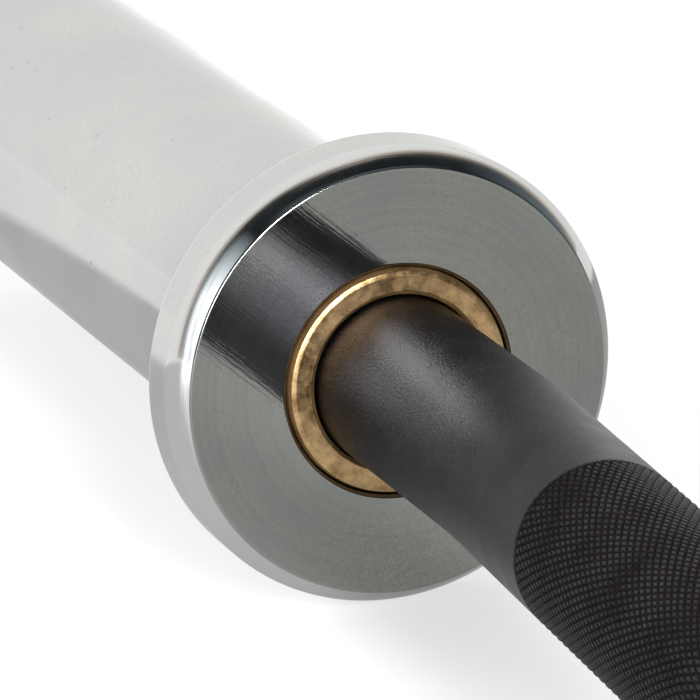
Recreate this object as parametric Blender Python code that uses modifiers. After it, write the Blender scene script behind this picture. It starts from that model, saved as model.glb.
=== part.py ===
"""Olympic EZ curl bar: a cambered solid shaft with a free-turning plate sleeve on each end.

Metres, +Z up. The bar's axis runs along X. It lies on the floor on its two collars and on the
middle of its camber, and the origin is on the floor at the centre of its footprint.

Distances called "out" are measured along the bar from a collar's inner face towards that end.
"""

import math

import bmesh
import bpy
from mathutils import Quaternion, Vector

# Bar
TOTAL_LENGTH = 1.283
LOADABLE_LENGTH = 0.190  # of one sleeve, from the collar to the end

# Fits
FIT_GAP = 0.0003  # between pieces that seat or run on each other

# Shaft
SHAFT_RADIUS = 0.0140
FIRST_BEND_OUT = -0.047  # where the outer grip leaves the bar's axis
OUTER_GRIP_ANGLE = math.radians(8.0)
PEAK_FROM_MIDDLE = 0.230  # where the outer and the inner grip meet
CENTRE_HALF_LENGTH = 0.075
CENTRE_OFFSET = 0.050  # of the straight middle, on the far side of the axis from the peaks
FIRST_BEND_RADIUS = 0.120
GRIP_BEND_RADIUS = 0.060

# Turned ends of the shaft
JOURNAL_RADIUS = 0.0127  # of the reduced end that the outer bushing runs on
SHAFT_END_CHAMFER = 0.001
SHAFT_END_BEYOND_RING = 0.006
SHAFT_END_CLEARANCE = 0.010  # to the end cap's seat
SHAFT_GROOVE_DEPTH = 0.0009

# Collar
COLLAR_RADIUS = 0.03775
COLLAR_THICKNESS = 0.0125
COLLAR_FACE_RADIUS = 0.0350  # of the flat face, inside the rounded front edge
COLLAR_FRONT_ROUND = 0.0050  # of the rounded front edge, along the bar
COLLAR_BACK_ROUND = 0.0008
COLLAR_WEB = 0.0040  # wall in front of the sleeve tube, which the rest of the collar goes round

# Sleeve tube
SLEEVE_RADIUS = 0.0250
SLEEVE_END_CHAMFER = 0.0015
TUBE_BORE_RADIUS = 0.0176

# Bushings
BUSHING_RADIUS = 0.01845
INNER_BUSHING_LENGTH = 0.0350
OUTER_BUSHING_LENGTH = 0.0350
BUSHING_PROUD = 0.0008  # of the collar's face
BUSHING_CHAMFER = 0.0006

# Thrust washers
WASHER_RADIUS = 0.0170
WASHER_THICKNESS = 0.0020

# Retaining rings
SHAFT_RING_THICKNESS = 0.0015
SHAFT_RING_WIDEST = 0.0032
SHAFT_RING_NARROWEST = 0.0021
SHAFT_RING_EAR_RADIUS = 0.0020
CAP_RING_THICKNESS = 0.0018
CAP_RING_WIDEST = 0.0040
CAP_RING_NARROWEST = 0.0027
CAP_RING_EAR_RADIUS = 0.0025
EAR_HOLE_SHARE = 0.5  # of the ear's radius
EAR_HALF_ANGLE = math.radians(17.0)  # from the middle of the ring's opening to an ear
EAR_BLEND = 1.5  # of the ear's half width, to where the ring's own edge starts

# End cap
CAP_RADIUS = 0.0202
CAP_THICKNESS = 0.0060
CAP_SEAT_DEPTH = 0.0140  # from the tube's end to the step that the cap sits on
CAP_CHAMFER = 0.0008
CAP_DISH_RADIUS = 0.0150
CAP_DISH_DEPTH = 0.0012
CAP_DISH_SLOPE = 0.0015  # of the dish's side, across the cap
CAP_GROOVE_DEPTH = 0.0012

# Facets
TURNED_SIDES = 40
SHAFT_BEVEL_RESOLUTION = 14  # 32 sides
BEND_STEPS = 6
ROUND_STEPS = 6
BACK_ROUND_STEPS = 2
RING_STEPS = 36
EAR_STEPS = 8
HOLE_STEPS = 10
SHARP_ANGLE = math.radians(30.0)
MERGE_DISTANCE = 0.00001
CUTTER_MARGIN = 0.002

# Places along the bar, out from a collar's inner face
BUSHING_SEAT_RADIUS = BUSHING_RADIUS + FIT_GAP
INNER_BUSHING_END = INNER_BUSHING_LENGTH - BUSHING_PROUD
TUBE_END = COLLAR_THICKNESS + LOADABLE_LENGTH
CAP_SEAT = TUBE_END - CAP_SEAT_DEPTH
CAP_START = CAP_SEAT + FIT_GAP
CAP_END = CAP_START + CAP_THICKNESS
CAP_RING_START = CAP_END + FIT_GAP
SHAFT_END = CAP_SEAT - SHAFT_END_CLEARANCE
SHAFT_GROOVE_END = SHAFT_END - SHAFT_END_BEYOND_RING
SHAFT_RING_START = SHAFT_GROOVE_END - FIT_GAP - SHAFT_RING_THICKNESS
OUTER_WASHER_START = SHAFT_RING_START - FIT_GAP - WASHER_THICKNESS
OUTER_BUSHING_END = OUTER_WASHER_START - FIT_GAP
OUTER_BUSHING_START = OUTER_BUSHING_END - OUTER_BUSHING_LENGTH
INNER_WASHER_START = OUTER_BUSHING_START - FIT_GAP - WASHER_THICKNESS
SHOULDER_OUT = INNER_WASHER_START - FIT_GAP

# Places in the row's frame. The collars stand on flats of their facets, and so does the camber's middle.
COLLAR_FACE_X = TOTAL_LENGTH / 2 - TUBE_END
AXIS_HEIGHT = COLLAR_RADIUS * math.cos(math.pi / TURNED_SIDES)
CAMBER_ROLL = math.asin((AXIS_HEIGHT - SHAFT_RADIUS) / CENTRE_OFFSET)
CAMBER_REACH = CENTRE_OFFSET * math.cos(CAMBER_ROLL) + SHAFT_RADIUS
AXIS_Y = (AXIS_HEIGHT - CAMBER_REACH) / 2


def clear_scene():
    for obj in list(bpy.data.objects):
        bpy.data.objects.remove(obj)


def new_collection(name):
    collection = bpy.data.collections.new(name)
    bpy.context.scene.collection.children.link(collection)
    return collection


def new_material(name, colour, metallic, roughness):
    material = bpy.data.materials.new(name)
    material.use_nodes = True
    shader = material.node_tree.nodes["Principled BSDF"]
    shader.inputs["Base Color"].default_value = (*colour, 1.0)
    shader.inputs["Metallic"].default_value = metallic
    shader.inputs["Roughness"].default_value = roughness
    return material


def add_object(name, data, collection, material=None, parent=None):
    obj = bpy.data.objects.new(name, data)
    if material:
        data.materials.append(material)
    obj.parent = parent
    collection.objects.link(obj)
    return obj


def apply_modifiers(obj):
    """Puts the evaluated mesh in place of the modifiers, smooth with its real edges sharp."""
    graph = bpy.context.evaluated_depsgraph_get()
    mesh = bpy.data.meshes.new_from_object(obj.evaluated_get(graph))
    obj.modifiers.clear()
    obj.data = mesh
    mesh.shade_smooth()
    mesh.set_sharp_from_angle(angle=SHARP_ANGLE)


def end_axis(name, side, collection):
    """An empty on the bar's axis at a collar's inner face, its +Z pointing out along the bar."""
    empty = add_object(name, None, collection)
    empty.empty_display_size = SLEEVE_RADIUS
    empty.location = (side * COLLAR_FACE_X, AXIS_Y, AXIS_HEIGHT)
    empty.rotation_euler.y = side * math.pi / 2
    return empty


def arc(centre_out, centre_radius, size_out, size_radius, start, end, steps):
    """Points (out, radius) along an ellipse's arc, its angles measured from the outward radius."""
    points = []
    for step in range(steps + 1):
        angle = start + (end - start) * step / steps
        out = centre_out + size_out * math.sin(angle)
        radius = centre_radius + size_radius * math.cos(angle)
        points.append((out, radius))
    return points


def ring_profile(start, end, inner, outer, chamfer=0.0):
    """A plain ring's section, from its far outer corner back, with its outer corners chamfered."""
    if not chamfer:
        return [(end, outer), (start, outer), (start, inner), (end, inner)]
    return [
        (end, outer - chamfer),
        (end - chamfer, outer),
        (start + chamfer, outer),
        (start, outer - chamfer),
        (start, inner),
        (end, inner),
    ]


def turned(name, profile, collection, material=None, parent=None):
    """Spins a closed profile of (out, radius) points round the parent's Z axis."""
    half_facet = math.pi / TURNED_SIDES
    bm = bmesh.new()
    verts = []
    for out, radius in profile:
        place = (radius * math.cos(half_facet), radius * math.sin(half_facet), out)
        verts.append(bm.verts.new(place))
    pairs = list(zip(verts, verts[1:]))
    on_axis = profile[0][1] == 0 and profile[-1][1] == 0
    if not on_axis:
        pairs.append((verts[-1], verts[0]))
    for pair in pairs:
        bm.edges.new(pair)
    mesh = bpy.data.meshes.new(name)
    bm.to_mesh(mesh)
    bm.free()
    obj = add_object(name, mesh, collection, material, parent)
    screw = obj.modifiers.new("turn", "SCREW")
    screw.steps = TURNED_SIDES
    screw.render_steps = TURNED_SIDES
    screw.use_merge_vertices = True
    screw.merge_threshold = MERGE_DISTANCE
    apply_modifiers(obj)
    return obj


def bent_line(corners, radii):
    """The line through the corners, with each inner corner replaced by an arc of its radius."""
    points = [corners[0]]
    for before, corner, after, radius in zip(corners, corners[1:], corners[2:], radii):
        back = (before - corner).normalized()
        ahead = (after - corner).normalized()
        half_angle = back.angle(ahead) / 2
        centre = corner + (back + ahead).normalized() * radius / math.sin(half_angle)
        first = corner + back * radius / math.tan(half_angle) - centre
        last = corner + ahead * radius / math.tan(half_angle) - centre
        turn = first.rotation_difference(last)
        for step in range(BEND_STEPS + 1):
            points.append(centre + Quaternion().slerp(turn, step / BEND_STEPS) @ first)
    points.append(corners[-1])
    return points


def camber_line():
    """The shaft's centre line, end to end, in the camber's own plane: X along the bar, -Y to the peaks."""
    first_bend_x = COLLAR_FACE_X + FIRST_BEND_OUT
    peak = (first_bend_x - PEAK_FROM_MIDDLE) * math.tan(OUTER_GRIP_ANGLE)
    half = bent_line(
        [
            Vector((0.0, CENTRE_OFFSET, 0.0)),
            Vector((CENTRE_HALF_LENGTH, CENTRE_OFFSET, 0.0)),
            Vector((PEAK_FROM_MIDDLE, -peak, 0.0)),
            Vector((first_bend_x, 0.0, 0.0)),
            Vector((COLLAR_FACE_X + SHAFT_END, 0.0, 0.0)),
        ],
        [GRIP_BEND_RADIUS, GRIP_BEND_RADIUS, FIRST_BEND_RADIUS],
    )
    other_half = [Vector((-point.x, point.y, 0.0)) for point in half[:0:-1]]
    return other_half + half[1:]


def bent_bar(name, points, radius, collection):
    """A round bar along the points, as a closed mesh."""
    curve = bpy.data.curves.new(name, "CURVE")
    curve.dimensions = "3D"
    curve.bevel_depth = radius
    curve.bevel_resolution = SHAFT_BEVEL_RESOLUTION
    curve.use_fill_caps = True
    spline = curve.splines.new("POLY")
    spline.points.add(len(points) - 1)
    for spot, point in zip(spline.points, points):
        spot.co = (*point, 1.0)
    path = add_object(name + "_path", curve, collection)
    graph = bpy.context.evaluated_depsgraph_get()
    mesh = bpy.data.meshes.new_from_object(path.evaluated_get(graph))
    bm = bmesh.new()
    bm.from_mesh(mesh)
    bmesh.ops.remove_doubles(bm, verts=bm.verts, dist=MERGE_DISTANCE)
    bm.to_mesh(mesh)
    bm.free()
    bar = add_object(name, mesh, collection)
    bpy.data.objects.remove(path)
    return bar


def shaft_end_cutter(name, parent, cutters):
    """What the lathe takes off one end: down to the journal, the ring's groove and the end chamfer."""
    past_end = SHAFT_END + CUTTER_MARGIN
    past_radius = SHAFT_RADIUS + CUTTER_MARGIN
    groove_start = SHAFT_RING_START - FIT_GAP
    groove_radius = JOURNAL_RADIUS - SHAFT_GROOVE_DEPTH
    profile = [
        (past_end, past_radius),
        (SHOULDER_OUT, past_radius),
        (SHOULDER_OUT, JOURNAL_RADIUS),
        (groove_start, JOURNAL_RADIUS),
        (groove_start, groove_radius),
        (SHAFT_GROOVE_END, groove_radius),
        (SHAFT_GROOVE_END, JOURNAL_RADIUS),
        (SHAFT_END - SHAFT_END_CHAMFER, JOURNAL_RADIUS),
        (past_end, JOURNAL_RADIUS - SHAFT_END_CHAMFER - CUTTER_MARGIN),
    ]
    cutter = turned(name, profile, cutters, parent=parent)
    cutter.hide_render = True
    cutter.display_type = "WIRE"
    return cutter


def make_shaft(material, collection, cutters, end_axes):
    shaft = bent_bar("shaft", camber_line(), SHAFT_RADIUS, collection)
    shaft.data.materials.append(material)
    shaft.location = (0.0, AXIS_Y, AXIS_HEIGHT)
    shaft.rotation_euler.x = -CAMBER_ROLL
    for side_name, axis in end_axes.items():
        cut = shaft.modifiers.new(side_name + "_end", "BOOLEAN")
        cut.operation = "DIFFERENCE"
        cut.object = shaft_end_cutter(side_name + "_end_cutter", axis, cutters)
    shaft.data.shade_smooth()
    shaft.data.set_sharp_from_angle(angle=SHARP_ANGLE)
    return shaft


def collar_profile():
    back_round_start = COLLAR_THICKNESS - COLLAR_BACK_ROUND
    back_round = arc(
        back_round_start,
        COLLAR_RADIUS - COLLAR_BACK_ROUND,
        COLLAR_BACK_ROUND,
        COLLAR_BACK_ROUND,
        math.pi / 2,
        0.0,
        BACK_ROUND_STEPS,
    )
    front_round = arc(
        COLLAR_FRONT_ROUND,
        COLLAR_FACE_RADIUS,
        COLLAR_FRONT_ROUND,
        COLLAR_RADIUS - COLLAR_FACE_RADIUS,
        0.0,
        -math.pi / 2,
        ROUND_STEPS,
    )
    inside = [
        (0.0, BUSHING_SEAT_RADIUS),
        (COLLAR_WEB, BUSHING_SEAT_RADIUS),
        (COLLAR_WEB, SLEEVE_RADIUS + FIT_GAP),
        (COLLAR_THICKNESS, SLEEVE_RADIUS + FIT_GAP),
    ]
    return back_round + front_round + inside


def sleeve_tube_profile():
    tube_start = COLLAR_WEB + FIT_GAP
    cap_bore = CAP_RADIUS + FIT_GAP
    cap_groove = cap_bore + CAP_GROOVE_DEPTH
    cap_groove_end = CAP_RING_START + CAP_RING_THICKNESS + FIT_GAP
    inner_step = INNER_BUSHING_END + FIT_GAP
    outer_step = OUTER_BUSHING_START - FIT_GAP
    return [
        (TUBE_END, SLEEVE_RADIUS - SLEEVE_END_CHAMFER),
        (TUBE_END - SLEEVE_END_CHAMFER, SLEEVE_RADIUS),
        (tube_start, SLEEVE_RADIUS),
        (tube_start, BUSHING_SEAT_RADIUS),
        (inner_step, BUSHING_SEAT_RADIUS),
        (inner_step, TUBE_BORE_RADIUS),
        (outer_step, TUBE_BORE_RADIUS),
        (outer_step, BUSHING_SEAT_RADIUS),
        (CAP_SEAT, BUSHING_SEAT_RADIUS),
        (CAP_SEAT, cap_bore),
        (CAP_END, cap_bore),
        (CAP_END, cap_groove),
        (cap_groove_end, cap_groove),
        (cap_groove_end, cap_bore),
        (TUBE_END, cap_bore),
    ]


def end_cap_profile():
    dish_floor = CAP_END - CAP_DISH_DEPTH
    return [
        (dish_floor, 0.0),
        (dish_floor, CAP_DISH_RADIUS - CAP_DISH_SLOPE),
        (CAP_END, CAP_DISH_RADIUS),
        (CAP_END, CAP_RADIUS - CAP_CHAMFER),
        (CAP_END - CAP_CHAMFER, CAP_RADIUS),
        (CAP_START, CAP_RADIUS),
        (CAP_START, 0.0),
    ]


def ring_outline(seat, direction, widest, narrowest, ear):
    """A retaining ring's outline: open at the top, widest opposite its opening, with an ear at each tip.

    seat is the radius of its edge in the groove. The rest of it lies outside that with direction 1,
    inside it with direction -1. An ear is a round tip of radius ear.
    """
    ear_centre = seat + direction * ear
    tip = EAR_HALF_ANGLE - math.asin(ear / seat)
    neck = EAR_HALF_ANGLE + EAR_BLEND * math.asin(ear / seat)

    def at(radius, angle):
        return Vector((radius * math.sin(angle), radius * math.cos(angle), 0.0))

    seat_edge = []
    free_edge = []
    for step in range(RING_STEPS + 1):
        share = step / RING_STEPS
        seat_edge.append(at(seat, tip + (2 * math.pi - 2 * tip) * share))
        angle = neck + (2 * math.pi - 2 * neck) * share
        width = narrowest + (widest - narrowest) * (1 - math.cos(angle)) / 2
        free_edge.append(at(seat + direction * width, angle))

    def ear_edge(side):
        """Round the ear on this side of the opening, from its tip side to its neck side."""
        middle = at(ear_centre, side * EAR_HALF_ANGLE)
        outward = at(direction, side * EAR_HALF_ANGLE)
        across = at(side, side * EAR_HALF_ANGLE + math.pi / 2)
        edge = []
        for step in range(EAR_STEPS + 1):
            angle = math.pi * step / EAR_STEPS
            edge.append(middle + ear * (outward * math.sin(angle) - across * math.cos(angle)))
        return edge

    outline = seat_edge + ear_edge(-1) + free_edge[::-1] + ear_edge(1)[::-1]
    holes = []
    for side in (-1, 1):
        middle = at(ear_centre, side * EAR_HALF_ANGLE)
        hole = ear * EAR_HOLE_SHARE
        turns = [2 * math.pi * step / HOLE_STEPS for step in range(HOLE_STEPS)]
        holes.append([middle + at(hole, angle) for angle in turns])
    return [outline, *holes]


def retaining_ring(name, outlines, start, thickness, collection, material, parent):
    """An open ring cut from sheet: its outlines as a filled flat curve, extruded both ways."""
    curve = bpy.data.curves.new(name, "CURVE")
    curve.dimensions = "2D"
    curve.fill_mode = "BOTH"
    curve.extrude = thickness / 2
    for outline in outlines:
        spline = curve.splines.new("POLY")
        spline.use_cyclic_u = True
        spline.points.add(len(outline) - 1)
        for spot, point in zip(spline.points, outline):
            spot.co = (*point, 1.0)
    ring = add_object(name, curve, collection, material, parent)
    ring.location.z = start + thickness / 2
    return ring


def make_sleeve(side_name, axis, materials, collection):
    """The pieces that turn together on one end of the shaft."""
    zinc, bronze, spring = materials["zinc_steel"], materials["bronze"], materials["spring_steel"]
    turned(side_name + "_collar", collar_profile(), collection, zinc, axis)
    turned(side_name + "_sleeve_tube", sleeve_tube_profile(), collection, zinc, axis)
    inner_bushing = ring_profile(
        -BUSHING_PROUD,
        INNER_BUSHING_END,
        SHAFT_RADIUS + FIT_GAP,
        BUSHING_RADIUS,
        BUSHING_CHAMFER,
    )
    turned(side_name + "_inner_bushing", inner_bushing, collection, bronze, axis)
    outer_bushing = ring_profile(
        OUTER_BUSHING_START,
        OUTER_BUSHING_END,
        JOURNAL_RADIUS + FIT_GAP,
        BUSHING_RADIUS,
        BUSHING_CHAMFER,
    )
    turned(side_name + "_outer_bushing", outer_bushing, collection, bronze, axis)
    turned(side_name + "_end_cap", end_cap_profile(), collection, materials["end_cap"], axis)
    retaining_ring(
        side_name + "_end_cap_ring",
        ring_outline(
            CAP_RADIUS + CAP_GROOVE_DEPTH,
            -1,
            CAP_RING_WIDEST,
            CAP_RING_NARROWEST,
            CAP_RING_EAR_RADIUS,
        ),
        CAP_RING_START,
        CAP_RING_THICKNESS,
        collection,
        spring,
        axis,
    )


def make_shaft_end(side_name, axis, materials, collection):
    """The washers and the retaining ring that hold one sleeve on the shaft."""
    for name, start in (("inner", INNER_WASHER_START), ("outer", OUTER_WASHER_START)):
        washer = ring_profile(
            start,
            start + WASHER_THICKNESS,
            JOURNAL_RADIUS + FIT_GAP,
            WASHER_RADIUS,
        )
        turned(
            f"{side_name}_{name}_thrust_washer", washer, collection, materials["washer"], axis
        )
    retaining_ring(
        side_name + "_shaft_ring",
        ring_outline(
            JOURNAL_RADIUS - SHAFT_GROOVE_DEPTH + FIT_GAP,
            1,
            SHAFT_RING_WIDEST,
            SHAFT_RING_NARROWEST,
            SHAFT_RING_EAR_RADIUS,
        ),
        SHAFT_RING_START,
        SHAFT_RING_THICKNESS,
        collection,
        materials["spring_steel"],
        axis,
    )


def main():
    clear_scene()
    collection = new_collection("ez_bar")
    cutters = new_collection("cutters")
    materials = {
        "black_steel": new_material("black_steel", (0.030, 0.030, 0.034), 0.7, 0.42),
        "zinc_steel": new_material("zinc_steel", (0.60, 0.61, 0.60), 1.0, 0.28),
        "bronze": new_material("bronze", (0.60, 0.40, 0.21), 1.0, 0.34),
        "washer": new_material("washer", (0.50, 0.50, 0.48), 1.0, 0.35),
        "spring_steel": new_material("spring_steel", (0.10, 0.10, 0.11), 1.0, 0.40),
        "end_cap": new_material("end_cap", (0.62, 0.62, 0.62), 1.0, 0.30),
    }
    shaft_ends = {}
    for side_name, side in (("left", -1), ("right", 1)):
        shaft_ends[side_name] = end_axis(side_name + "_shaft_end", side, collection)
        sleeve_axis = end_axis(side_name + "_sleeve_axis", side, collection)
        make_sleeve(side_name, sleeve_axis, materials, collection)
        make_shaft_end(side_name, shaft_ends[side_name], materials, collection)
    make_shaft(materials["black_steel"], collection, cutters, shaft_ends)


main()
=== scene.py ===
"""Looks of the EZ curl bar: smooth turned sleeves, a bent shaft with cut knurl, metal finishes.

Metres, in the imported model's own frame. Distances called "out" run along the bar from a collar's
inner face towards that end. Distances called "along" follow the shaft's centre line from its middle.
"""

import math

import bmesh
import bpy
from mathutils import Matrix, Vector


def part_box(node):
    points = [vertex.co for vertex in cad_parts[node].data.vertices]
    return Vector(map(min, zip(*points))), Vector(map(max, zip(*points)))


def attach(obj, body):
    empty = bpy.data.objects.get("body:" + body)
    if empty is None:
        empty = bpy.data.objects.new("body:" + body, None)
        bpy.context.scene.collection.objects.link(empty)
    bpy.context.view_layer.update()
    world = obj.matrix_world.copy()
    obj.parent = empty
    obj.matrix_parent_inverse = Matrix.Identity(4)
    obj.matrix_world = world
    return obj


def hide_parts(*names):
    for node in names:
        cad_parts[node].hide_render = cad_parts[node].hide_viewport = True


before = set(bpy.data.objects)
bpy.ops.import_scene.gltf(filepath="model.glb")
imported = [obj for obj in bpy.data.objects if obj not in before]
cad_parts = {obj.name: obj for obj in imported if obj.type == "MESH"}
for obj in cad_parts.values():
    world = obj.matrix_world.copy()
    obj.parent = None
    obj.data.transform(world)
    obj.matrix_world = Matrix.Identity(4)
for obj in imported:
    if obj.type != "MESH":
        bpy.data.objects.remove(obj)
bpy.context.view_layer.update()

SIDES = {"left": -1, "right": 1}
MICRON = 0.000001

# The bar's axis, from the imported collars
collar_low, collar_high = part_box("right_collar")
FACE_X = collar_low.x
AXIS_Y = (collar_low.y + collar_high.y) / 2
AXIS_Z = (collar_low.z + collar_high.z) / 2
COLLAR_RADIUS = (collar_high.z - collar_low.z) / 2
COLLAR_THICKNESS = collar_high.x - collar_low.x
tube_low, tube_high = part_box("right_sleeve_tube")
SLEEVE_RADIUS = (tube_high.z - tube_low.z) / 2
TUBE_START = tube_low.x - FACE_X
TUBE_END = tube_high.x - FACE_X


def out_range(node):
    """Where a node of the right end starts and ends, out from the collar's face."""
    low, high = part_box(node)
    return low.x - FACE_X, high.x - FACE_X


# Shaft, with the bends of the CAD part
NOMINAL_RADIUS = 0.0140
CENTRE_HALF_LENGTH = 0.075
CENTRE_OFFSET = 0.050
PEAK_FROM_MIDDLE = 0.230
OUTER_GRIP_ANGLE = math.radians(8.0)
FIRST_BEND_X = FACE_X - 0.047
GRIP_BEND_RADIUS = 0.060
FIRST_BEND_RADIUS = 0.120
CAMBER_ROLL = math.asin((AXIS_Z - NOMINAL_RADIUS) / CENTRE_OFFSET)
# A micron less than the CAD's, so that rounding stays inside its box
SHAFT_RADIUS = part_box("shaft")[1].y - AXIS_Y - CENTRE_OFFSET * math.cos(CAMBER_ROLL) - MICRON
SHOULDER_CHAMFER = 0.0004
JOURNAL_RADIUS = 0.0127
SHAFT_GROOVE_DEPTH = 0.0009
SHAFT_END_CHAMFER = 0.001

# Knurl, as crossing grooves that leave long low diamonds
KNURL_ROUND = 66  # diamonds in one turn
KNURL_PITCH = 0.0034  # along the bar
KNURL_FLANK = 0.00036  # width of a diamond's sloping side
KNURL_HEIGHT = 0.00014
KNURL_ROOT = SHAFT_RADIUS - 0.00011
KNURL_WALL = 0.0005  # thickness of the knurled band under its grooves
KNURL_START = 0.0577  # from the first bend's corner
KNURL_TO_PEAK = 0.0095  # from a grip to the peak bend's corner
KNURL_TO_CENTRE = 0.0165  # from a grip to the centre bend's corner
GRIP_CLEAR = 0.0011  # a bend's rings keep this far from a grip's end
# The shaft's rounded edge at a grip, as (away from the grip, below the shaft's radius)
GRIP_EDGE = ((0.0010, 0.0), (0.0005, 0.0), (0.0002, 0.00003), (0.0, 0.00016))

# Collars, sleeves and the small rings
FIT_GAP = 0.0003  # between pieces that sit by each other
RIM_DEPTH = 0.00472
RIM_STEPS = 18
RIM_OUT_POWER = 1.73  # the two powers make a chamfer with rounded ends
RIM_RADIUS_POWER = 1.945
FACE_EDGE_RADIUS = 0.0349
BACK_EDGE_CHAMFER = 0.0005
SEAT_RADIUS = 0.01875
SEAT_DEPTH = 0.0040
BACK_BORE = SLEEVE_RADIUS + 0.0001
TUBE_BORE = 0.0176
TUBE_CHAMFER = 0.0015
BUSHING_RADIUS = 0.01840
BUSHING_CHAMFER = 0.0006
WASHER_RADIUS = 0.01695
CAP_RADIUS = 0.0202
CAP_CHAMFER = 0.0008
CAP_DISH_DEPTH = 0.0012
CAP_BORE = 0.0205
CAP_GROOVE = 0.0217

# Meshes
TURN_STEPS = 160
SHAFT_SIDES = 96
BEND_STEPS = 28
ROUNDING_STEPS = 5
SHARP_ANGLE = math.radians(28.0)
MERGE = 0.000002
SUPPORT_GAP = 0.00015  # from a rounding to a corner that keeps the shading straight


# Node trees


def node(tree, kind, inputs=None, **settings):
    """A shader node with its settings, its inputs given as values or as sockets to link."""
    made = tree.nodes.new("ShaderNode" + kind)
    for key, value in settings.items():
        setattr(made, key, value)
    for key, value in (inputs or {}).items():
        if isinstance(value, bpy.types.NodeSocket):
            tree.links.new(value, made.inputs[key])
        else:
            made.inputs[key].default_value = value
    return made


def maths(tree, operation, *values):
    """The result of a Math node on numbers or sockets."""
    return node(tree, "Math", dict(enumerate(values)), operation=operation).outputs[0]


def product(tree, *factors):
    result = factors[0]
    for factor in factors[1:]:
        result = maths(tree, "MULTIPLY", result, factor)
    return result


def off_by(tree, value, spot):
    """How far a value lies from a spot, on either side."""
    return maths(tree, "ABSOLUTE", maths(tree, "SUBTRACT", value, spot))


def dot(tree, first, second):
    return node(tree, "VectorMath", {0: first, 1: second}, operation="DOT_PRODUCT").outputs["Value"]


def remap(tree, value, low, high, to_low=0.0, to_high=1.0):
    """Goes from to_low at low to to_high at high, and stays level outside them."""
    inputs = {0: value, 1: low, 2: high, 3: to_low, 4: to_high}
    return node(tree, "MapRange", inputs).outputs[0]


def faded(tree, *steps):
    """The product of remaps, each given as (value, (low, high)) or with to_low and to_high too."""
    return product(tree, *(remap(tree, value, *fade) for value, fade in steps))


def blend(tree, share, first, second):
    """The first colour at share 0, the second at share 1."""
    colours = [c if isinstance(c, bpy.types.NodeSocket) else (*c, 1.0) for c in (first, second)]
    inputs = {0: share, 6: colours[0], 7: colours[1]}
    return node(tree, "Mix", inputs, data_type="RGBA").outputs[2]


def noise(tree, vector, scale, detail, roughness=0.5, fourth=None):
    """A noise texture's value, in four dimensions where a fourth place is given."""
    inputs = {"Vector": vector, "Scale": scale, "Detail": detail, "Roughness": roughness}
    if fourth is None:
        return node(tree, "TexNoise", inputs).outputs[0]
    return node(tree, "TexNoise", {**inputs, "W": fourth}, noise_dimensions="4D").outputs[0]


def new_effect(name, inputs, outputs):
    """A node group that takes a vector and the named numbers, with its input and output sockets."""
    group = bpy.data.node_groups.new(name, "ShaderNodeTree")
    group.interface.new_socket(name="Vector", in_out="INPUT", socket_type="NodeSocketVector")
    for socket in inputs:
        group.interface.new_socket(name=socket, in_out="INPUT", socket_type="NodeSocketFloat")
    for socket in outputs:
        group.interface.new_socket(name=socket, in_out="OUTPUT", socket_type="NodeSocketFloat")
    entry = group.nodes.new("NodeGroupInput")
    leave = group.nodes.new("NodeGroupOutput")
    return group, entry.outputs, leave.inputs


def effect(tree, group, inputs):
    return node(tree, "Group", inputs, node_tree=group).outputs


# Marks that the finishes share
NOISE_SPAN = (0.32, 0.68)  # where most of a noise's values lie
TOOL_DRIFT = 22.0  # how fast tool marks change round the axis
BAND_SCALE = 0.30  # of broad tool marks, to fine ones
BRUSH_ALONG = (0.0, -0.745, 0.667)
BRUSH_ACROSS = (0.0, 0.667, 0.745)
BRUSH_DRIFT = 90.0  # how fast a brushed line changes along its run
BRUSH_PITCH = 0.00045
BRUSH_SPAN = (0.3, 0.7)
NICK_SCALE = 600.0
NICK_SHARE = 0.03
NICK_EDGE = (0.08, 0.34, 1.0, 0.0)
NICK_DEPTH = 0.00008
GRAIN_SCALE = 2600.0


def turning_marks():
    """Fine marks of a lathe tool, rings on a flat face and hoops on a round side."""
    group, given, result = new_effect("turning_marks", ["Pitch"], ["Height", "Bands"])
    parts = node(group, "SeparateXYZ", {0: given["Vector"]}).outputs
    flat = node(group, "CombineXYZ", {1: parts[1], 2: parts[2]}).outputs[0]
    radius = node(group, "VectorMath", {0: flat}, operation="LENGTH").outputs["Value"]
    across = maths(group, "DIVIDE", radius, given["Pitch"])
    beside = maths(group, "DIVIDE", parts[0], given["Pitch"])
    slow_y = product(group, parts[1], TOOL_DRIFT)
    slow_z = product(group, parts[2], TOOL_DRIFT)
    place = node(group, "CombineXYZ", {0: across, 1: slow_y, 2: slow_z}).outputs[0]
    fine = noise(group, place, 1.0, 2.0, fourth=beside)
    broad = noise(group, place, BAND_SCALE, 2.0, fourth=beside)
    group.links.new(fine, result["Height"])
    group.links.new(remap(group, broad, *NOISE_SPAN), result["Bands"])
    return group


def cloudy_film():
    """Soft patches, as a plated or oiled film has, with a finer grain on top."""
    group, given, result = new_effect("cloudy_film", ["Scale", "Fineness"], ["Patches", "Grain"])
    patches = noise(group, given["Vector"], given["Scale"], 4.0, 0.55)
    fine_scale = product(group, given["Scale"], given["Fineness"])
    grain = noise(group, given["Vector"], fine_scale, 4.0, 0.6)
    group.links.new(remap(group, patches, *NOISE_SPAN), result["Patches"])
    group.links.new(grain, result["Grain"])
    return group


def brushed_lines():
    """Fine straight lines across a flat face, left by its last brushing."""
    group, given, result = new_effect("brushed_lines", ["Pitch"], ["Height"])
    across = maths(group, "DIVIDE", dot(group, given["Vector"], BRUSH_ACROSS), given["Pitch"])
    along = product(group, dot(group, given["Vector"], BRUSH_ALONG), BRUSH_DRIFT)
    place = node(group, "CombineXYZ", {0: across, 1: along}).outputs[0]
    height = remap(group, noise(group, place, 1.0, 3.0, 0.6), *BRUSH_SPAN)
    group.links.new(height, result["Height"])
    return group


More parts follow.
